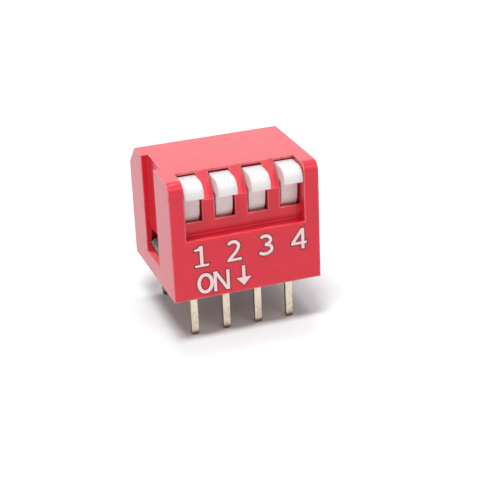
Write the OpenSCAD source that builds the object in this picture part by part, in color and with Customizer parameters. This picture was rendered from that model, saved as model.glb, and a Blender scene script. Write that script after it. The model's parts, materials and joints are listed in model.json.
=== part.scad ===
// Four-way piano-lever DIP switch for through-hole boards
// Millimetres, +Z up. Z = 0 is the board face that the body sits on.
// X = 0 is the middle of the four columns, and Y = 0 is midway between the two pin rows.
// The levers are at the front, towards -Y.

/* [Body] */
// Width of the body from side to side
body_w = 11.5; // [11.4:0.1:12.2]
// Depth of the body from front to back
body_d = 10.4; // [10.3:0.1:11.4]
// Height of the body above the board
body_h = 9.2; // [8.4:0.1:10.4]
// Distance from the front face back to the front pin row
front_overhang = 1.85; // [1.75:0.05:2]
// Distance from the rear pin row back to the back face
rear_overhang = 0.93; // [0.88:0.01:1.1]
// Thickness of the front wall below the levers
front_wall = 1.2; // [1.1:0.05:1.2]
// Thickness of the back wall
back_wall = 0.6; // [0.5:0.05:0.7]
// Thickness of the top wall
top_wall = 0.75; // [0.65:0.05:0.8]
// Size of the chamfer along the top back edge
back_chamfer = 1.6; // [1.2:0.1:1.8]
// Wall left under the chamfer
chamfer_wall = 0.7; // [0.6:0.05:0.9]
// Radius of the top front edge of the end cheeks
front_round = 0.75; // [0.5:0.05:1]

/* [Recess round the levers] */
// Depth of the recess behind the front face
recess_depth = 0.88; // [0.8:0.02:0.95]
// Drop from the top face to the ledge at the foot of the recess
ledge_drop = 4.5; // [4:0.1:5]
// Radius of the ledge's outer edge
ledge_round = 0.2; // [0.1:0.05:0.3]
// Drop from the top face to where the ribs turn from sloping to upright
rib_bend_drop = 1.85; // [1.6:0.05:2.1]
// Distance from the front face back to the step up to the top face
riser_back = 2.15; // [2.1:0.05:2.25]
// Drop from the top face to the top of the ribs
rib_drop = 0.1; // [0.05:0.01:0.15]
// Drop from the top face to the top of the slots
slot_drop = 0.17; // [0.15:0.01:0.2]
// Width of each lever slot
slot_w = 1.58; // [1.56:0.01:1.6]
// Drop from the top face to the lower end of the slots
slot_foot_drop = 3.45; // [3.4:0.05:3.55]
// How far the slots run back under the top wall
slot_tuck = 0.12; // [0.08:0.01:0.16]

/* [Side groove and latches] */
// Distance from the front face back to the groove in the left side
groove_back = 3.6; // [3.6:0.05:3.8]
// Width of the groove
groove_w = 3.4; // [3.3:0.05:3.6]
// Depth of the groove
groove_depth = 0.55; // [0.45:0.05:0.6]
// Height of the closed lower end of the groove, at the body's side
groove_foot_z = 1.35; // [1.2:0.05:1.5]
// Rise of the groove's sloping foot from the side to the bottom of the groove
groove_foot_rise = 0.35; // [0.2:0.05:0.4]
// Width of the latch window in each side
window_w = 3.1; // [2.8:0.05:3.1]
// Height of the window
window_h = 1.3; // [1.2:0.05:1.4]
// Height of the window's sill, which the latch hook catches on
sill_z = 1.8; // [1.75:0.05:1.85]
// How far the relief behind the left window runs back into the groove's back wall
relief_depth = 0.3; // [0.2:0.05:0.5]
// How far the relief reaches out past the bottom of the groove, at the sill
relief_out = 0.25; // [0.15:0.05:0.3]
// How far the hook stops short of the body's side
hook_inset = 0.35; // [0.25:0.05:0.45]
// Height of the upright face at the tip of the hook
hook_tip = 0.28; // [0.2:0.02:0.3]
// Slope of the hook's upper face, in degrees
hook_slope = 28; // [20:1:45]
// How far the root of the hook runs into the base
hook_root = 0.3; // [0.2:0.05:0.5]

/* [Pins and terminals] */
// Spacing of the columns
pitch = 2.54; // [2.53:0.01:2.55]
// Width of each pin
pin_w = 0.58; // [0.5:0.02:0.6]
// Thickness of the terminal metal
metal_t = 0.25; // [0.22:0.01:0.25]
// Length of the pins below the board face
pin_len = 3.8; // [3.2:0.1:4.2]
// Radius of the two rounded corners of the pin tip
tip_r = 0.2; // [0.1:0.01:0.24]
// Thickness of the pressed end of each pin
tip_t = 0.13; // [0.08:0.01:0.2]
// Height over which the pin thins down to its end
taper_h = 0.4; // [0.2:0.05:0.6]
// Inner radius of the fold in each terminal
fold_r = 0.1; // [0.05:0.01:0.12]
// Height of the top of the contact blades
blade_top_z = 4.4; // [4.3:0.05:4.5]
// Distance from the pivot line back to the back end of the front blades
front_blade_reach = 2.1; // [1.9:0.05:2.3]
// Distance from the pivot line back to the front end of the rear blades
rear_blade_back = 1.1; // [1:0.05:1.3]
// Height of the web's lower edge above the base's under face
web_rise = 0.25; // [0.15:0.05:0.4]
// Depth of the web's upper edge below the base's upper face
web_sink = 0.2; // [0.1:0.05:0.3]

/* [Base and seal] */
// Height of the base's upper face
base_top_z = 2.2; // [2.1:0.05:2.3]
// Height of the base's under face
base_foot_z = 0.75; // [0.65:0.05:0.85]
// How far the seal stands back above the board face
seal_rise = 0.25; // [0.2:0.05:0.35]
// Radius of the click ridge under each lever
ridge_r = 0.5; // [0.4:0.02:0.52]

/* [Levers] */
// Width of the finger cap
cap_w = 1.46; // [1.4:0.01:1.48]
// Width of the stem and hub behind the cap
stem_w = 1.26; // [1.2:0.02:1.3]
// Drop from the body's top face to the top of the cap in the off position
cap_drop = 0.28; // [0.26:0.01:0.35]
// Drop from the body's top face to the underside of the lip in the off position
lip_drop = 1.4; // [1.3:0.05:1.5]
// Distance from the body's front face back to the front of the lip
lip_back = 0.02; // [0:0.02:0.2]
// Radius of the curve from the top of the cap to the lip
cap_round = 0.85; // [0.6:0.05:0.95]
// Distance from the front face back to the pivot line
pivot_back = 3.1; // [3.06:0.02:3.14]
// Drop from the body's top face to the pivot line
pivot_drop = 2.3; // [2.28:0.01:2.34]
// Radius of the trunnions
trunnion_r = 0.4; // [0.36:0.01:0.42]
// How far each trunnion reaches past the slot's side
trunnion_reach = 0.35; // [0.3:0.01:0.36]
// Radius of the hub
hub_r = 1.45; // [1.3:0.01:1.46]
// Radius of the drum-shaped lower part of the stem
stem_r = 2.14; // [2.05:0.01:2.14]
// Distance from the front face back to the flat upper part of the stem
stem_back = 0.92; // [0.9:0.01:1]
// Height above the pivot line where the stem turns from drum-shaped to flat
stem_flat = 0.15; // [0.1:0.01:0.3]
// Angle from the front up to the upper end of the drum
drum_up = 62.5; // [58:0.5:64]
// Angle from the front down to the lower end of the drum
drum_down = 45; // [40:1:50]
// Thickness of the arm from side to side
arm_t = 0.6; // [0.56:0.02:0.6]
// Depth of the arm from front to back
arm_d = 0.8; // [0.7:0.05:0.9]
// Forward lean of the arm in the off position
arm_lean = 6; // [5:0.5:7]
// Travel of each lever from off to on, in degrees
lever_travel = 32; // [30:0.5:32]
// Rest angle of lever 1 below the off stop
rest_1 = 0; // [0:0.5:4]
// Rest angle of lever 2 below the off stop
rest_2 = 1.5; // [0:0.5:4]
// Rest angle of lever 3 below the off stop
rest_3 = 2; // [0:0.5:4]
// Rest angle of lever 4 below the off stop
rest_4 = 0; // [0:0.5:4]

/* [Moving contacts] */
// Thickness of the contact spring strip
clip_t = 0.08; // [0.06:0.005:0.08]
// Width of the strip
clip_w = 0.7; // [0.6:0.05:0.75]
// Height of the legs above the foot of the clip
clip_h = 1.35; // [1.25:0.05:1.45]
// Radius of the contact buttons
button_r = 0.25; // [0.2:0.01:0.27]
// Height of the buttons above the end of the arm
button_rise = 0.55; // [0.5:0.01:0.6]
// Radius of the pegs that hold the clip
peg_r = 0.12; // [0.08:0.01:0.14]
// Distance of the pegs below the top of the legs
peg_inset = 0.25; // [0.2:0.01:0.3]

/* [Clearances] */
// Gap between the back of the cap and the step behind it
cap_gap = 0.03; // [0.02:0.01:0.05]
// Height of the arm's end above the level of the base's upper face
arm_gap = 0.65; // [0.6:0.01:0.75]
// Radial clearance of the trunnions in their bearings
bearing_gap = 0.04; // [0.02:0.01:0.05]
// Gap round the base inside the body
base_gap = 0.03; // [0.02:0.01:0.05]
// Gap between a button and a contact blade
contact_gap = 0.015; // [0.01:0.005:0.02]
// Gap round the keeper posts and the latch hooks
post_gap = 0.05; // [0.04:0.01:0.06]

/* [Hidden] */
// round parts are exact circles, so the count only sets the preview
$fn = 96;
positions = 4;
// how far a cutter runs past the face that it opens
past = 1;
// how far joined solids run into each other
overlap = 0.1;
// spacing between the two pin rows, 7.62 as drawn
row_spacing = body_d - front_overhang - rear_overhang;
front_y = -row_spacing / 2 - front_overhang;
back_y = row_spacing / 2 + rear_overhang;
inner_front_y = front_y + front_wall;
inner_back_y = back_y - back_wall;
inner_top_z = body_h - top_wall;
riser_y = front_y + riser_back;
slot_back_y = riser_y + slot_tuck;
slot_foot_z = body_h - slot_foot_drop;
ledge_z = body_h - ledge_drop;
recess_w = (positions - 1) * pitch + slot_w;
pivot_y = front_y + pivot_back;
pivot_z = body_h - pivot_drop;
groove_y = front_y + groove_back;
window_back_y = groove_y + groove_w;
bearing_r = trunnion_r + bearing_gap;
bearing_end_x = recess_w / 2 + trunnion_reach + post_gap;
base_w = recess_w - 2 * base_gap;
blade_out_x = slot_w / 2 - base_gap;
blade_in_x = blade_out_x - metal_t;
clip_out_x = arm_t / 2 + clip_t;
button_x = blade_in_x - contact_gap;
// arm and clip are measured down from the pivot, along the arm
arm_len = pivot_z - base_top_z - arm_gap;
clip_foot_drop = arm_len + clip_t;
clip_peg_drop = clip_foot_drop - clip_h + peg_inset;
// the ridge stands under the middle of the arm's travel
ridge_y = pivot_y + arm_len * sin(lever_travel / 2 - arm_lean);
rests = [rest_1, rest_2, rest_3, rest_4];

// Middle of a column, counted from 1
function column_x(i) = (i - (positions + 1) / 2) * pitch;

// A box given by its two ends along each axis
module box(x0, x1, y0, y1, z0, z1) {
  translate([x0, y0, z0])
    cube([x1 - x0, y1 - y0, z1 - z0]);
}

// A Y-Z outline drawn out along X, centred on X = 0
module drawn_x(w, outline) {
  translate([-w / 2, 0, 0])
    rotate([90, 0, 90])
      linear_extrude(height = w)
        polygon(outline);
}

// A cylinder along X, centred on X = 0
module rod_x(r, w) {
  rotate([0, 90, 0])
    cylinder(r = r, h = w, center = true);
}

// What a convex rounding removes from a box edge that runs along X
module corner_waste(r, w) {
  difference() {
    box(-w / 2, w / 2, -past, r, -r, past);
    translate([0, r, -r])
      rod_x(r, w + 2 * past);
  }
}

// ---- Housing ----

module housing_block() {
  difference() {
    box(-body_w / 2, body_w / 2, front_y, back_y, 0, body_h);
    drawn_x(body_w + 2 * past, [
      [back_y - back_chamfer - past, body_h + past],
      [back_y + past, body_h + past],
      [back_y + past, body_h - back_chamfer - past]
    ]);
    translate([0, front_y, body_h])
      corner_waste(front_round, body_w + 2 * past);
    translate([0, front_y, ledge_z])
      corner_waste(ledge_round, recess_w);
  }
}

// The recess that the finger caps move in
module recess() {
  drawn_x(recess_w, [
    [front_y - past, ledge_z],
    [front_y + recess_depth, ledge_z],
    [front_y + recess_depth, body_h - rib_bend_drop],
    [riser_y, body_h - rib_drop],
    [riser_y, body_h + past],
    [front_y - past, body_h + past]
  ]);
}

// The chamber behind one slot
module chamber() {
  chamfer_sum = back_y + body_h - back_chamfer - chamfer_wall * sqrt(2);
  drawn_x(slot_w, [
    [inner_front_y, base_top_z - past],
    [inner_front_y, inner_top_z],
    [chamfer_sum - inner_top_z, inner_top_z],
    [inner_back_y, chamfer_sum - inner_back_y],
    [inner_back_y, base_top_z - past]
  ]);
}

module slot() {
  box(-slot_w / 2, slot_w / 2, front_y - past, slot_back_y,
      slot_foot_z, body_h - slot_drop);
}

// Space for the base and the seal, open at the board face
module floor_space(gap) {
  box(-recess_w / 2 + gap, recess_w / 2 - gap,
      inner_front_y + gap, inner_back_y - gap, -past, base_top_z);
}

// Bearing notches for the trunnions, open downwards so that the levers go in from below
module bearings() {
  translate([0, pivot_y, pivot_z])
    rod_x(bearing_r, 2 * bearing_end_x);
  box(-bearing_end_x, bearing_end_x,
      pivot_y - bearing_r, pivot_y + bearing_r, -past, pivot_z);
}

// Groove down the left side, open at the top, with a sloping foot
module side_groove() {
  side_x = -body_w / 2;
  translate([0, groove_y + groove_w, 0])
    rotate([90, 0, 0])
      linear_extrude(height = groove_w)
        polygon([
          [side_x - past, body_h + past],
          [side_x + groove_depth, body_h + past],
          [side_x + groove_depth, groove_foot_z + groove_foot_rise],
          [side_x, groove_foot_z],
          [side_x - past, groove_foot_z]
        ]);
}

// Latch window of the right side
module latch_window() {
  box(recess_w / 2 - past / 2, body_w / 2 + past,
      window_back_y - window_w, window_back_y, sill_z, sill_z + window_h);
}

// Three-cornered relief in the groove's back wall, beside the rear end of the hook
module hook_relief() {
  groove_x = groove_depth - body_w / 2;
  inner_x = overlap - recess_w / 2;
  translate([0, window_back_y + relief_depth, 0])
    rotate([90, 0, 0])
      linear_extrude(height = relief_depth + overlap)
        polygon([
          [groove_x - relief_out, sill_z],
          [inner_x, sill_z],
          [inner_x, sill_z + window_h],
          [groove_x, sill_z + window_h]
        ]);
}

module housing() {
  color([0.80, 0.07, 0.09])
    difference() {
      housing_block();
      recess();
      floor_space(0);
      for (i = [1:positions])
        translate([column_x(i), 0, 0]) {
          slot();
          chamber();
        }
      bearings();
      side_groove();
      hook_relief();
      for (s = [0, 1])
        mirror([s, 0, 0])
          latch_window();
    }
}

// ---- Terminals ----

// Flat pin, face on to the front, with round corners and a thinned end
module pin(top_z) {
  corner_x = pin_w / 2 - tip_r;
  intersection() {
    translate([0, metal_t / 2, -pin_len])
      rotate([90, 0, 0])
        linear_extrude(height = metal_t)
          union() {
            translate([-corner_x, 0])
              square([2 * corner_x, tip_r]);
            translate([-pin_w / 2, tip_r])
              square([pin_w, pin_len + top_z - tip_r]);
            for (s = [-1, 1])
              translate([s * corner_x, tip_r])
                circle(r = tip_r);
          }
    drawn_x(2 * pin_w, [
      [-metal_t / 2, top_z],
      [-metal_t / 2, taper_h - pin_len],
      [-tip_t / 2, -pin_len],
      [tip_t / 2, -pin_len],
      [metal_t / 2, taper_h - pin_len],
      [metal_t / 2, top_z]
    ]);
  }
}

// A stamped terminal, folded so that its blade runs back along the chamber's left wall
module folded_terminal(blade_end) {
  bend = metal_t + fold_r;
  root_z = base_foot_z + web_rise;
  web_top_z = base_top_z - web_sink;
  union() {
    pin(web_top_z);
    translate([0, 0, root_z])
      linear_extrude(height = web_top_z - root_z)
        union() {
          translate([bend - blade_out_x, -metal_t / 2])
            square([blade_out_x - bend + pin_w / 2, metal_t]);
          difference() {
            translate([bend - blade_out_x, bend - metal_t / 2])
              circle(r = bend);
            translate([bend - blade_out_x, bend - metal_t / 2])
              circle(r = fold_r);
            translate([bend - blade_out_x, -metal_t])
              square([2 * bend, 3 * bend]);
            translate([-blade_out_x - metal_t, bend - metal_t / 2])
              square([2 * bend + metal_t, 2 * bend]);
          }
        }
    box(-blade_out_x, -blade_in_x, bend - metal_t / 2, blade_end, root_z, blade_top_z);
  }
}

module front_terminal_solid(i) {
  translate([column_x(i), -row_spacing / 2, 0])
    folded_terminal(pivot_y + front_blade_reach + row_spacing / 2);
}

// The rear terminal is the same stamping turned half round, with a longer blade
module rear_terminal_solid(i) {
  translate([column_x(i), row_spacing / 2, 0])
    rotate([0, 0, 180])
      folded_terminal(row_spacing / 2 - pivot_y - rear_blade_back);
}

module all_terminals() {
  for (i = [1:positions]) {
    front_terminal_solid(i);
    rear_terminal_solid(i);
  }
}

module front_terminal(i) {
  color([0.83, 0.76, 0.55])
    front_terminal_solid(i);
}

module rear_terminal(i) {
  color([0.83, 0.76, 0.55])
    rear_terminal_solid(i);
}

// ---- Base and seal ----

// Latch hook of the right side: a sloping top over a flat catch
module hook() {
  catch_z = sill_z + post_gap;
  out_x = body_w / 2 - hook_inset;
  in_x = recess_w / 2 + post_gap;
  top_z = catch_z + hook_tip + (out_x - in_x) * tan(hook_slope);
  translate([0, window_back_y - post_gap, 0])
    rotate([90, 0, 0])
      linear_extrude(height = window_w - 2 * post_gap)
        polygon([
          [base_w / 2 - hook_root, catch_z],
          [out_x, catch_z],
          [out_x, catch_z + hook_tip],
          [in_x, top_z],
          [base_w / 2, top_z],
          [base_w / 2, base_top_z - base_gap],
          [base_w / 2 - hook_root, base_top_z - base_gap]
        ]);
}

// Posts that fill the bearing notches from below and keep the trunnions in
module keeper_posts() {
  half = bearing_r - post_gap;
  top_z = pivot_z - trunnion_r - post_gap;
  side = slot_w / 2 + base_gap;
  for (i = [1:positions - 1])
    box(column_x(i) + side, column_x(i + 1) - side,
        pivot_y - half, pivot_y + half, base_foot_z, top_z);
  for (s = [0, 1])
    mirror([s, 0, 0])
      box(recess_w / 2 + base_gap, bearing_end_x - post_gap,
          pivot_y - half, pivot_y + half, base_foot_z, top_z);
  box(-bearing_end_x + post_gap, bearing_end_x - post_gap,
      pivot_y - half, pivot_y + half, base_foot_z, base_top_z - base_gap);
}

// A low round ridge that the foot of each clip snaps over
module click_ridges() {
  for (i = [1:positions])
    translate([column_x(i), ridge_y, base_top_z - base_gap])
      rod_x(ridge_r, 2 * blade_in_x - 4 * base_gap);
}

module base() {
  color([0.10, 0.10, 0.11])
    difference() {
      union() {
        intersection() {
          floor_space(base_gap);
          box(-body_w, body_w, front_y, back_y, base_foot_z, base_top_z - base_gap);
        }
        hook();
        mirror([1, 0, 0])
          hook();
        keeper_posts();
        click_ridges();
      }
      all_terminals();
    }
}

// Cast sealing layer under the base
module seal() {
  color([0.16, 0.13, 0.10])
    difference() {
      box(-recess_w / 2, recess_w / 2, inner_front_y, inner_back_y, seal_rise, base_foot_z);
      all_terminals();
    }
}

// ---- Levers and moving contacts ----

// Places a lever or clip drawn about its pivot in the off position
module at_pivot(i) {
  translate([column_x(i), pivot_y, pivot_z])
    rotate([rests[i - 1], 0, 0])
      children();
}

// The finger cap: flat on top, curved down to a lip at the front
module cap() {
  lip_y = lip_back - pivot_back;
  back_end_y = riser_back - cap_gap - pivot_back;
  top_z = pivot_drop - cap_drop;
  difference() {
    box(-cap_w / 2, cap_w / 2, lip_y, back_end_y, pivot_drop - lip_drop, top_z);
    translate([0, lip_y, top_z])
      corner_waste(cap_round, cap_w + 2 * past);
  }
}

// The stem, which fills the slot below the lip: flat at the top and drum-shaped below
module stem() {
  // reach of the drum's wedge past its round face
  reach = 1.5 * stem_r;
  box(-stem_w / 2, stem_w / 2, stem_back - pivot_back, 0,
      stem_flat, pivot_drop - lip_drop + overlap);
  intersection() {
    rod_x(stem_r, stem_w);
    drawn_x(stem_w + past, [
      [0, 0],
      reach * [-cos(drum_up), sin(drum_up)],
      reach * [-1, sin(drum_up)],
      reach * [-1, -sin(drum_down)],
      reach * [-cos(drum_down), -sin(drum_down)]
    ]);
  }
}

module arm() {
  rotate([-arm_lean, 0, 0]) {
    box(-arm_t / 2, arm_t / 2, -arm_d / 2, arm_d / 2, -arm_len, 0);
    translate([0, 0, -clip_peg_drop])
      rod_x(peg_r, arm_t + 2 * clip_t);
  }
}

module lever(i) {
  color([0.93, 0.92, 0.89])
    at_pivot(i)
      union() {
        cap();
        stem();
        rod_x(hub_r, stem_w);
        rod_x(trunnion_r, slot_w + 2 * trunnion_reach);
        arm();
      }
}

// U-shaped spring strip clipped over the end of the arm, with a button on each leg
module clip(i) {
  color([0.85, 0.70, 0.38])
    at_pivot(i)
      rotate([-arm_lean, 0, 0])
        difference() {
          union() {
            box(-clip_out_x, clip_out_x, -clip_w / 2, clip_w / 2,
                -clip_foot_drop, clip_h - clip_foot_drop);
            translate([0, 0, button_rise - arm_len])
              rod_x(button_r, 2 * button_x);
          }
          box(-arm_t / 2, arm_t / 2, -past, past, -arm_len, 0);
          translate([0, 0, -clip_peg_drop])
            rod_x(peg_r, 2 * clip_out_x + past);
        }
}

housing();
base();
seal();
lever(1);  // lever_1
lever(2);  // lever_2
lever(3);  // lever_3
lever(4);  // lever_4
clip(1);  // clip_1
clip(2);  // clip_2
clip(3);  // clip_3
clip(4);  // clip_4
front_terminal(1);  // front_terminal_1
front_terminal(2);  // front_terminal_2
front_terminal(3);  // front_terminal_3
front_terminal(4);  // front_terminal_4
rear_terminal(1);  // rear_terminal_1
rear_terminal(2);  // rear_terminal_2
rear_terminal(3);  // rear_terminal_3
rear_terminal(4);  // rear_terminal_4
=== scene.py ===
"""Looks of a four-way piano-lever DIP switch: finishes, legend, floor, light and camera.

Lengths are in metres. MM turns a length that reads better in millimetres into metres.
"""
import json
import math

import bpy
from mathutils import Matrix, Vector


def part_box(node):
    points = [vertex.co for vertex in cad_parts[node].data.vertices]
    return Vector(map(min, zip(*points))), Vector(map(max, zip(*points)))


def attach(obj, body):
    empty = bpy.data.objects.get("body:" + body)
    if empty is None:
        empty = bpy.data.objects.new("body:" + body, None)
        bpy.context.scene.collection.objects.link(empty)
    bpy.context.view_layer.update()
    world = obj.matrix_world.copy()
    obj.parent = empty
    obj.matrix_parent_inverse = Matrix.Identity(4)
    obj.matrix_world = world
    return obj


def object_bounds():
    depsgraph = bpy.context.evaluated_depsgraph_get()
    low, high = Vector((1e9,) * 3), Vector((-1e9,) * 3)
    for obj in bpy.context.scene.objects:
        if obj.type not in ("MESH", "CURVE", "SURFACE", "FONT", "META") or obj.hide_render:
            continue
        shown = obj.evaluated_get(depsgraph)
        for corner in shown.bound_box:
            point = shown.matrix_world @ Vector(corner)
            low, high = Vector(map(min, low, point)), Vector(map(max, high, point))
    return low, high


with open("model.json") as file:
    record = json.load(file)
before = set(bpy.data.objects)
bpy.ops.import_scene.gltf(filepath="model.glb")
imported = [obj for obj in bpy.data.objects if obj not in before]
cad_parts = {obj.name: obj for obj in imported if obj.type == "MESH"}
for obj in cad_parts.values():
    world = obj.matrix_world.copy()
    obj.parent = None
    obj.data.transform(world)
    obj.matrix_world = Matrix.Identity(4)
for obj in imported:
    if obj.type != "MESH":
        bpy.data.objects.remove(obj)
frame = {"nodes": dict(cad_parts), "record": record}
cad_low, cad_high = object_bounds()

MM = 0.001

# ---- Places worked out from the frame ----
body_low, body_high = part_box("housing")
front_y = body_low.y
floor_z = cad_low.z
cap_lip_drop = 1.4 * MM
cap_lip_z = body_high.z - cap_lip_drop
columns = [j["pos_m"][0] for j in frame["record"]["behaviour"]["joints"]]


# ---- Node helpers ----
# Sockets of a Mix node that mixes colours.
MIX_FACTOR, MIX_A, MIX_B, MIX_COLOUR = 0, 6, 7, 2


class Shader:
    """A material's node tree, with short calls for the nodes that the finishes share."""

    def __init__(self, name):
        self.material = bpy.data.materials.new(name)
        self.material.use_nodes = True
        self.tree = self.material.node_tree
        self.surface = self.tree.nodes["Principled BSDF"]
        self.place = self.add("ShaderNodeTexCoord").outputs["Object"]

    def add(self, kind, **settings):
        node = self.tree.nodes.new(kind)
        for key, value in settings.items():
            setattr(node, key, value)
        return node

    def link(self, output, target):
        self.tree.links.new(output, target)

    def noise(self, size, detail=3.0, roughness=0.5, stretch=(1, 1, 1)):
        """Noise whose features are about size metres across."""
        mapping = self.add("ShaderNodeMapping")
        mapping.inputs["Scale"].default_value = stretch
        self.link(self.place, mapping.inputs["Vector"])
        node = self.add("ShaderNodeTexNoise")
        node.inputs["Scale"].default_value = 1 / size
        node.inputs["Detail"].default_value = detail
        node.inputs["Roughness"].default_value = roughness
        self.link(mapping.outputs["Vector"], node.inputs["Vector"])
        return node.outputs["Fac"]

    def ramp(self, value, low, high, to_low=0.0, to_high=1.0):
        """value mapped from low..high to to_low..to_high, held at both ends."""
        node = self.add("ShaderNodeMapRange")
        node.inputs["From Min"].default_value = low
        node.inputs["From Max"].default_value = high
        node.inputs["To Min"].default_value = to_low
        node.inputs["To Max"].default_value = to_high
        self.link(value, node.inputs["Value"])
        return node.outputs["Result"]

    def times(self, a, b):
        node = self.add("ShaderNodeMath", operation="MULTIPLY")
        for socket, value in zip(node.inputs, (a, b)):
            if isinstance(value, (int, float)):
                socket.default_value = value
            else:
                self.link(value, socket)
        return node.outputs["Value"]

    def mix(self, factor, a, b):
        """Colours a and b mixed by factor. Each is a colour or a socket."""
        node = self.add("ShaderNodeMix", data_type="RGBA")
        self.link(factor, node.inputs[MIX_FACTOR])
        for index, value in ((MIX_A, a), (MIX_B, b)):
            if isinstance(value, tuple):
                node.inputs[index].default_value = (*value, 1)
            else:
                self.link(value, node.inputs[index])
        return node.outputs[MIX_COLOUR]

    def edges(self, radius):
        """1 along outer and inner edges and 0 on open faces, and the softened normal."""
        bevel = self.add("ShaderNodeBevel", samples=8)
        bevel.inputs["Radius"].default_value = radius
        flat = self.add("ShaderNodeNewGeometry").outputs["Normal"]
        dot = self.add("ShaderNodeVectorMath", operation="DOT_PRODUCT")
        self.link(bevel.outputs["Normal"], dot.inputs[0])
        self.link(flat, dot.inputs[1])
        return self.ramp(dot.outputs["Value"], 1.0, 0.92), bevel.outputs["Normal"]

    def corners(self, reach, open_at=0.80, shut_at=0.40):
        """1 deep in the piece's own inner corners and 0 on open faces.

        open_at and shut_at are the shares of open space at which it is 0 and 1.
        """
        shelter = self.add("ShaderNodeAmbientOcclusion", samples=8, only_local=True)
        shelter.inputs["Distance"].default_value = reach
        return self.ramp(shelter.outputs["AO"], open_at, shut_at)

    def facing(self, axis):
        """1 on a face that looks straight along the axis, either way round, 0 on one beside it."""
        normal = self.add("ShaderNodeSeparateXYZ")
        self.link(self.add("ShaderNodeTexCoord").outputs["Normal"], normal.inputs[0])
        node = self.add("ShaderNodeMath", operation="ABSOLUTE")
        self.link(normal.outputs[axis], node.inputs[0])
        return node.outputs["Value"]

    def height(self):
        """Height in metres in the shared frame."""
        split = self.add("ShaderNodeSeparateXYZ")
        self.link(self.place, split.inputs[0])
        return split.outputs["Z"]

    def bump(self, height, distance, strength=1.0, normal=None):
        node = self.add("ShaderNodeBump")
        node.inputs["Distance"].default_value = distance
        node.inputs["Strength"].default_value = strength
        self.link(height, node.inputs["Height"])
        if normal is not None:
            self.link(normal, node.inputs["Normal"])
        return node.outputs["Normal"]

    def set(self, **values):
        """Sets or links the surface's own sockets."""
        for key, value in values.items():
            socket = self.surface.inputs[key.replace("_", " ")]
            if isinstance(value, bpy.types.NodeSocket):
                self.link(value, socket)
            elif isinstance(value, tuple) and len(value) == 3 and socket.type == "RGBA":
                socket.default_value = (*value, 1)
            else:
                socket.default_value = value


# ---- Finishes ----

# Reach and strength of the painted shade in inner corners and on the ledges in them.
corner_reach = 0.7 * MM
ledge_reach = 1.5 * MM
corner_shade = 0.12
polish = 0.07


def moulded_plastic(name, colour, deep, wear_and_highlight, shade, roughness,
                    edge=0.17 * MM, grain=0.06 * MM, stem_red_bounce=None):
    """Satin moulded plastic: fine grain, faint flow marks, and polished outer edges lightened by
    wear and a painted highlight.

    deep is the colour of the flow marks, and worn that of the outer edges: wear lightened
    further as a painted highlight. shade is painted shade in the piece's own inner corners,
    deeper still on the up-facing ledges in them. stem is a painted pink glow below the lips
    of the finger caps, for the red light that the housing throws into the slots.
    """
    s = Shader(name)
    flow = s.noise(2.4 * MM, detail=2.0, stretch=(1, 1, 2.2))
    cloud = s.noise(0.5 * MM, detail=4.0)
    skin = s.noise(grain, detail=1.0)
    edge_mask, soft_normal = s.edges(edge)
    patchy = s.ramp(cloud, 0.22, 0.46)
    base = s.mix(s.ramp(flow, 0.35, 0.7), colour, deep)
    # Painted shade: inner corners darkened by the piece's own ambient occlusion, and up-facing
    # ledges in them darker still.
    sheltered = s.corners(corner_reach)
    ledge_shade = s.times(s.corners(ledge_reach, 0.94, 0.55), s.ramp(s.facing("Z"), 0.3, 0.7))
    base = s.mix(s.times(sheltered, corner_shade), s.mix(ledge_shade, base, shade), shade)
    # Painted light: below the cap lip the lever is tinted pink, for the red light that the housing
    # throws on it.
    if stem_red_bounce:
        below_lip = s.ramp(s.height(), cap_lip_z - 0.12 * MM, cap_lip_z + 0.06 * MM, 1.0, 0.0)
        base = s.mix(below_lip, base, stem_red_bounce)
    # Outer edges away from inner corners take the edge colour in patches: wear and a painted
    # highlight.
    rubbed_and_highlit = s.times(s.times(edge_mask, patchy), s.ramp(sheltered, 0.1, 0.5, 1.0, 0.0))
    flow_bump = s.bump(flow, 0.02 * MM, 0.25, soft_normal)
    s.set(
        Base_Color=s.mix(rubbed_and_highlit, base, wear_and_highlight),
        Roughness=s.ramp(edge_mask, 0.0, 1.0, roughness, roughness - polish),
        Normal=s.bump(skin, 0.001 * MM, 0.5, flow_bump),
    )
    return s


def plated_metal(name, colour, tarnish, painted_shade, roughness, edge=0.07 * MM):
    """Stamped and plated strip: rolling lines down its length and dull spots, with painted shade
    on its cut sides and edges.

    The tips of the pins, just above the floor, are darkened too, as painted shade.
    """
    s = Shader(name)
    rolling = s.noise(0.11 * MM, detail=2.0, stretch=(1, 1, 0.07))
    spots = s.noise(0.34 * MM, detail=3.0)
    edge_mask, soft_normal = s.edges(edge)
    base = s.mix(s.ramp(spots, 0.48, 0.66, 0.0, 0.7), colour, tarnish)
    base = s.mix(s.ramp(rolling, 0.52, 0.64, 0.0, 0.3), base, tarnish)
    # Painted shade: faces that look along X, the cut sides, are darkened.
    base = s.mix(s.ramp(s.facing("X"), 0.5, 0.9, 0.0, 0.75), base, painted_shade)
    # Painted shade: the pin tips just above the floor are darkened.
    tip = s.ramp(s.height(), floor_z + 0.14 * MM, floor_z + 0.34 * MM, 0.8, 0.0)
    base = s.mix(tip, base, painted_shade)
    spot_bump = s.bump(spots, 0.008 * MM, 0.4, soft_normal)
    s.set(
        # Painted shade: edges are darkened.
        Base_Color=s.mix(s.times(edge_mask, 0.8), base, painted_shade),
        Metallic=1.0,
        Roughness=roughness,
        Normal=s.bump(rolling, 0.004 * MM, 0.4, spot_bump),
    )
    return s


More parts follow.
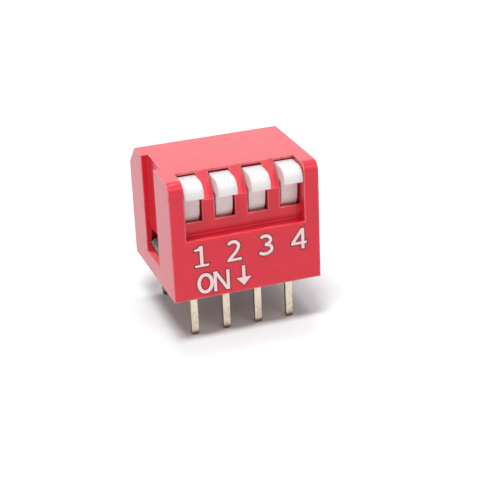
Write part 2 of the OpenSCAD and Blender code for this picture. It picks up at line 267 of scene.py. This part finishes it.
def cast_resin(name, colour, light):
    """Poured sealing resin: glossy, with a slow ripple and tiny sunk bubbles."""
    s = Shader(name)
    ripple = s.noise(1.2 * MM, detail=2.0)
    bubbles = s.noise(0.12 * MM, detail=1.0)
    pits = s.ramp(bubbles, 0.68, 0.76)
    s.set(
        Base_Color=s.mix(s.ramp(ripple, 0.3, 0.7), colour, light),
        Roughness=s.ramp(bubbles, 0.3, 0.7, 0.14, 0.26),
        Normal=s.bump(ripple, 0.08 * MM, 0.6, s.bump(pits, 0.02 * MM, 0.5)),
    )
    return s


def legend_ink(name, colour, thin):
    """Opaque legend ink: slightly uneven cover and a soft gloss."""
    s = Shader(name)
    cover = s.noise(0.09 * MM, detail=4.0)
    s.set(
        Base_Color=s.mix(s.ramp(cover, 0.52, 0.72, 0.0, 0.8), colour, thin),
        Roughness=s.ramp(cover, 0.3, 0.7, 0.38, 0.55),
        Normal=s.bump(cover, 0.004 * MM, 0.4),
    )
    return s


red = moulded_plastic(
    "red_plastic",
    colour=(0.76, 0.010, 0.031),
    deep=(0.72, 0.008, 0.028),
    # The edge colour below is wear lightened further as a painted highlight.
    wear_and_highlight=(1.0, 0.20, 0.21),
    # Painted shade for inner corners and their ledges.
    shade=(0.36, 0.004, 0.012),
    roughness=0.3,
)
red.set(IOR=1.5, Specular_Tint=(1.0, 0.72, 0.78), Coat_Weight=0.5, Coat_Roughness=0.22,
        Subsurface_Weight=0.06, Subsurface_Radius=(1.0, 0.15, 0.1), Subsurface_Scale=0.5 * MM)

white = moulded_plastic(
    "white_plastic",
    colour=(0.86, 0.85, 0.82),
    deep=(0.83, 0.815, 0.78),
    # The edge colour below is wear lightened further as a painted highlight.
    wear_and_highlight=(0.90, 0.90, 0.88),
    # Painted shade for inner corners and their ledges.
    shade=(0.80, 0.70, 0.67),
    roughness=0.32,
    edge=0.09 * MM,
    grain=0.08 * MM,
    # Painted pink glow below the cap lips, for the red light that the housing throws into the
    # slots.
    stem_red_bounce=(1.0, 0.815, 0.785),
)
white.set(IOR=1.52, Subsurface_Weight=0.65, Subsurface_Radius=(1.0, 0.88, 0.84),
          Subsurface_Scale=1.1 * MM)

grey = moulded_plastic(
    "grey_plastic",
    colour=(0.105, 0.14, 0.11),
    deep=(0.085, 0.115, 0.09),
    # The edge colour below is wear lightened further as a painted highlight.
    wear_and_highlight=(0.30, 0.32, 0.25),
    # Painted shade for inner corners and their ledges.
    shade=(0.05, 0.06, 0.045),
    roughness=0.42,
)
epoxy = cast_resin("epoxy", (0.012, 0.009, 0.006), (0.03, 0.022, 0.014))
# The darkest colour of each strip is painted shade for its cut sides, edges and pin tips.
gold = plated_metal("gold_plate", colour=(0.84, 0.79, 0.63), tarnish=(0.62, 0.55, 0.39),
                    painted_shade=(0.10, 0.08, 0.045), roughness=0.3)
bronze = plated_metal("spring_bronze", colour=(0.78, 0.56, 0.28), tarnish=(0.55, 0.36, 0.17),
                      painted_shade=(0.22, 0.13, 0.06), roughness=0.26)
ink = legend_ink("legend_ink", (1.0, 0.73, 0.70), (0.94, 0.50, 0.48))
# The dark rim round each character of the legend is painted shade.
rim = legend_ink("legend_shade_rim", (0.09, 0.010, 0.016), (0.17, 0.012, 0.022))

finishes = {"housing": red, "base": grey, "seal": epoxy, "lever": white,
            "clip": bronze, "front_terminal": gold, "rear_terminal": gold}
for node, obj in frame["nodes"].items():
    finish = finishes[node.rstrip("_1234")]
    for material_slot in obj.material_slots:
        material_slot.material = finish.material
    if not obj.material_slots:
        obj.data.materials.append(finish.material)


# ---- Legend on the front face ----
# Each stroke is an outline about the middle of its character, anticlockwise. Outlines and
# widths are in millimetres, and how far a layer stands off the face is in metres.

ink_rise = 0.012 * MM
rim_rise = 0.006 * MM
stroke_step = 0.0004 * MM
rim_w = 0.08


def bar(x0, x1, z0, z1):
    return [(x0, z0), (x1, z0), (x1, z1), (x0, z1)]


def bend(centre, radii, start, end, steps=14):
    """Points along an elliptical arc, with the angles in degrees."""
    angles = [math.radians(start + (end - start) * k / steps) for k in range(steps + 1)]
    return [(centre[0] + radii[0] * math.cos(a), centre[1] + radii[1] * math.sin(a))
            for a in angles]


def ribbon(path, width):
    """The outline of a line of that width along the path."""
    left, right = [], []
    for k, here in enumerate(path):
        before, after = Vector(path[max(k - 1, 0)]), Vector(path[min(k + 1, len(path) - 1)])
        run = (after - before).normalized()
        side = Vector((-run.y, run.x)) * width / 2
        left.append(Vector(here) + side)
        right.append(Vector(here) - side)
    return right + left[::-1]


def grown(outline, by):
    """The outline with every edge moved out by that much."""
    count = len(outline)
    moved = []
    for k in range(count):
        before, here, after = (Vector(outline[n % count]) for n in (k - 1, k, k + 1))
        first, second = (here - before).normalized(), (after - here).normalized()
        out_first, out_second = Vector((first.y, -first.x)), Vector((second.y, -second.x))
        mitre = out_first + out_second
        moved.append(here + mitre * by / max(0.5, mitre.dot(out_first)))
    return moved


def plate(name, outlines, centre, rise, finish):
    """Thin flat plates on the front face.

    Each stands a hair higher than the one before, so that crossing strokes don't coincide.
    """
    points, faces = [], []
    for step, outline in enumerate(outlines):
        first, count = len(points), len(outline)
        top = rise + step * stroke_step
        for y in (front_y - top, front_y):
            points += [(centre[0] + x * MM, y, centre[1] + z * MM) for x, z in outline]
        faces.append(range(first, first + count))
        for k in range(count):
            after = (k + 1) % count
            faces.append((first + after, first + k, first + count + k, first + count + after))
    mesh = bpy.data.meshes.new(name)
    mesh.from_pydata(points, [], [list(face) for face in faces])
    mesh.materials.append(finish.material)
    obj = bpy.data.objects.new(name, mesh)
    bpy.context.collection.objects.link(obj)
    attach(obj, "body")


digit_top, letter_top = 0.83, 0.8
line_w = 0.25
round_w = 0.27
round_left = ribbon(bend((0, 0), (0.5, 0.69), 90, 270, 20), round_w)
round_right = ribbon(bend((0, 0), (0.5, 0.69), -90, 90, 20), round_w)
GLYPHS = {
    "digit_1": [bar(-0.10, 0.16, -digit_top, digit_top),
                bar(-0.50, 0.57, -digit_top, -0.65),
                [(-0.50, 0.46), (0.0, 0.46), (0.0, digit_top), (-0.10, digit_top),
                 (-0.19, 0.70), (-0.33, 0.64), (-0.50, 0.62)]],
    "digit_2": [ribbon(bend((-0.06, 0.33), (0.42, 0.385), 150, -25)
                       + [(0.14, -0.14), (-0.42, -0.70)], line_w),
                bar(-0.55, 0.57, -digit_top, -0.62)],
    "digit_3": [ribbon(bend((-0.10, 0.375), (0.43, 0.34), 142, -92), line_w),
                ribbon(bend((-0.12, -0.345), (0.53, 0.37), 92, -146), line_w)],
    "digit_4": [bar(0.21, 0.45, -digit_top, digit_top),
                bar(-0.60, 0.62, -0.45, -0.24),
                [(-0.60, -0.24), (-0.30, -0.24), (0.45, 0.72), (0.45, digit_top),
                 (0.20, digit_top)]],
    "letter_O": [round_left, round_right],
    "letter_N": [bar(-0.62, -0.38, -letter_top, letter_top),
                 bar(0.38, 0.62, -letter_top, letter_top),
                 [(-0.62, letter_top), (0.34, -letter_top), (0.62, -letter_top),
                  (-0.34, letter_top)]],
    "arrow": [bar(-0.125, 0.125, -0.20, letter_top),
              [(0.0, -letter_top), (0.59, -0.14), (-0.59, -0.14)]],
}


def character(name, centre):
    """A character in ink over its slightly larger dark rim, which is painted shade."""
    strokes = GLYPHS[name]
    plate(name, strokes, centre, ink_rise, ink)
    plate(name + "_rim", [grown(stroke, rim_w) for stroke in strokes], centre, rim_rise, rim)


digit_z = 3.36 * MM
digit_shift = 0.25 * MM
for number, x in enumerate(columns, start=1):
    character(f"digit_{number}", (x + digit_shift, digit_z))

word_z = 1.16 * MM
arrow_z = 1.24 * MM
character("letter_O", (columns[0] + 0.47 * MM, word_z))
character("letter_N", (columns[0] + 1.73 * MM, word_z))
character("arrow", (columns[1] + 0.92 * MM, arrow_z))


# ---- Floor ----
# It ends while the lamps still light it to white, and the world behind it is as white.
floor_reach = 0.2
floor_corners = [(x * floor_reach, y * floor_reach, floor_z)
                 for x, y in ((-1, -1), (1, -1), (1, 1), (-1, 1))]
mesh = bpy.data.meshes.new("floor")
mesh.from_pydata(floor_corners, [], [(0, 1, 2, 3)])
floor = bpy.data.objects.new("floor", mesh)
bpy.context.collection.objects.link(floor)
paper = Shader("floor_paper")
fibres = paper.noise(0.6 * MM, detail=4.0)
plain = paper.mix(paper.ramp(fibres, 0.3, 0.7), (0.86, 0.86, 0.86), (0.88, 0.88, 0.88))
# Seen straight on it is a little cooler, against the red that the housing throws on it.
seen = paper.add("ShaderNodeLightPath").outputs["Is Camera Ray"]
cool_white = (0.95, 1.0, 1.0)
paper.set(
    Base_Color=paper.mix(seen, plain, cool_white),
    Roughness=0.9,
    Specular_IOR_Level=0.1,
    Normal=paper.bump(fibres, 0.01 * MM, 0.2),
)
# A view from below looks through the floor at the part.
from_below = paper.add("ShaderNodeNewGeometry").outputs["Backfacing"]
one_sided = paper.add("ShaderNodeMixShader")
paper.link(from_below, one_sided.inputs["Fac"])
paper.link(paper.surface.outputs["BSDF"], one_sided.inputs[1])
paper.link(paper.add("ShaderNodeBsdfTransparent").outputs["BSDF"], one_sided.inputs[2])
paper.link(one_sided.outputs["Shader"], paper.tree.nodes["Material Output"].inputs["Surface"])
floor.data.materials.append(paper.material)


# ---- Light ----
middle = (body_low + body_high) / 2
lamp_distance = 1.2


def direction(azimuth, elevation):
    """Unit vector away from the object. Azimuth 0 is the front, and +90 is the right."""
    a, e = math.radians(azimuth), math.radians(elevation)
    return Vector((math.sin(a) * math.cos(e), -math.cos(a) * math.cos(e), math.sin(e)))


def softbox(name, azimuth, elevation, size, watts, colour=(1, 1, 1)):
    """A rectangular lamp that faces the object, size metres wide and high."""
    light = bpy.data.lights.new(name, "AREA")
    light.shape = "RECTANGLE"
    light.size, light.size_y = size
    light.energy = watts
    light.color = colour
    obj = bpy.data.objects.new(name, light)
    obj.location = middle + direction(azimuth, elevation) * lamp_distance
    obj.rotation_euler = direction(azimuth, elevation).to_track_quat("Z", "Y").to_euler()
    bpy.context.collection.objects.link(obj)


overhead = (0.98, 0.96, 1)
softbox("key", -32, 67, (0.34, 0.14), 6.4)
softbox("top", -15, 76, (0.34, 0.14), 2.85, overhead)
softbox("top_rear", 160, 78, (0.48, 0.16), 2.9, overhead)
softbox("front_card", 22, 43, (0.60, 0.40), 1.3)
softbox("side_card", -88, 45, (0.80, 0.56), 0.5)
softbox("back_card", 162, 28, (1.20, 0.64), 0.71)

# The world is white where it is seen or mirrored, and otherwise a dimmer, cooler fill light.
world = bpy.data.worlds.new("tent")
bpy.context.scene.world = world
world.use_nodes = True
tree = world.node_tree
background = tree.nodes["Background"]
path = tree.nodes.new("ShaderNodeLightPath")
bright = path.outputs["Is Camera Ray"]
for other in ("Is Glossy Ray", "Is Transmission Ray"):
    either = tree.nodes.new("ShaderNodeMath")
    either.operation = "MAXIMUM"
    tree.links.new(bright, either.inputs[0])
    tree.links.new(path.outputs[other], either.inputs[1])
    bright = either.outputs[0]
fill_level = 0.30
level = tree.nodes.new("ShaderNodeMapRange")
level.inputs["To Min"].default_value = fill_level
level.inputs["To Max"].default_value = 1.0
tree.links.new(bright, level.inputs["Value"])
tree.links.new(level.outputs["Result"], background.inputs["Strength"])
sky = tree.nodes.new("ShaderNodeMix")
sky.data_type = "RGBA"
sky.inputs[MIX_A].default_value = (0.93, 0.965, 1, 1)
sky.inputs[MIX_B].default_value = (1, 1, 1, 1)
tree.links.new(bright, sky.inputs[MIX_FACTOR])
tree.links.new(sky.outputs[MIX_COLOUR], background.inputs["Color"])


# ---- Camera ----
camera_azimuth = -18.4
camera_elevation = 23.7
camera_roll = -2.6
camera_distance = 108.7 * MM
lens = 106.2
aim = middle + Vector((0.97 * MM, -0.7 * MM, -2.57 * MM))

back = direction(camera_azimuth, camera_elevation)
right = Vector((0, 0, 1)).cross(back).normalized()
up = back.cross(right)
roll = math.radians(camera_roll)
right, up = (right * math.cos(roll) + up * math.sin(roll),
             up * math.cos(roll) - right * math.sin(roll))
lens_data = bpy.data.cameras.new("camera")
lens_data.lens = lens
lens_data.sensor_width = 36
lens_data.clip_start = 0.005
lens_data.clip_end = 5
camera = bpy.data.objects.new("camera", lens_data)
axes = Matrix((right, up, back)).transposed().to_4x4()
camera.matrix_world = Matrix.Translation(aim + back * camera_distance) @ axes
bpy.context.collection.objects.link(camera)
bpy.context.scene.camera = camera
bpy.context.scene.view_settings.view_transform = "Standard"
